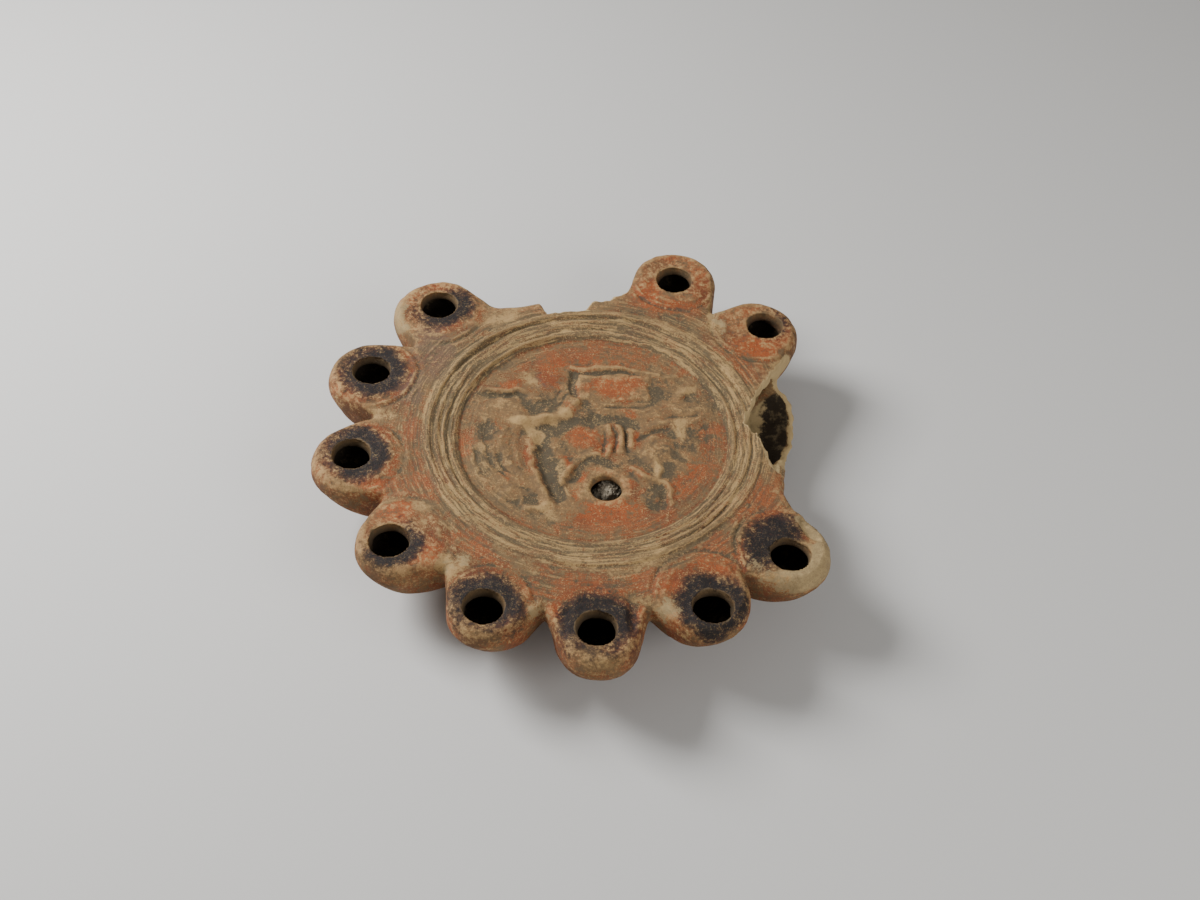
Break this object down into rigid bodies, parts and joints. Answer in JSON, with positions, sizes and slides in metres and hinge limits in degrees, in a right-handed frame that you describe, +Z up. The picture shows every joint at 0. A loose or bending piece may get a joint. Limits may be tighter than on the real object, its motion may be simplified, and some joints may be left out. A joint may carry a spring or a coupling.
{
  "type": "roman oil lamp",
  "caption": "Flat round moulded clay oil lamp with wick spouts all round, a sunk disc with a filling hole and worn low relief, and a broken side and handle.",
  "frame": {"origin": "centre of the flat underside on which the lamp stands", "axes": "+Z up; +Y towards the broken-off handle, -Y towards the viewer in the picture, +X towards the broken spout"},
  "size_m": [0.1825, 0.1998, 0.034],
  "materials": {
    "fired_clay": "matt worn orange-red slip with pale crust and soot"
  },
  "bodies": {
    "root": {"lamp_body": "fired_clay"}
  },
  "joints": []
}
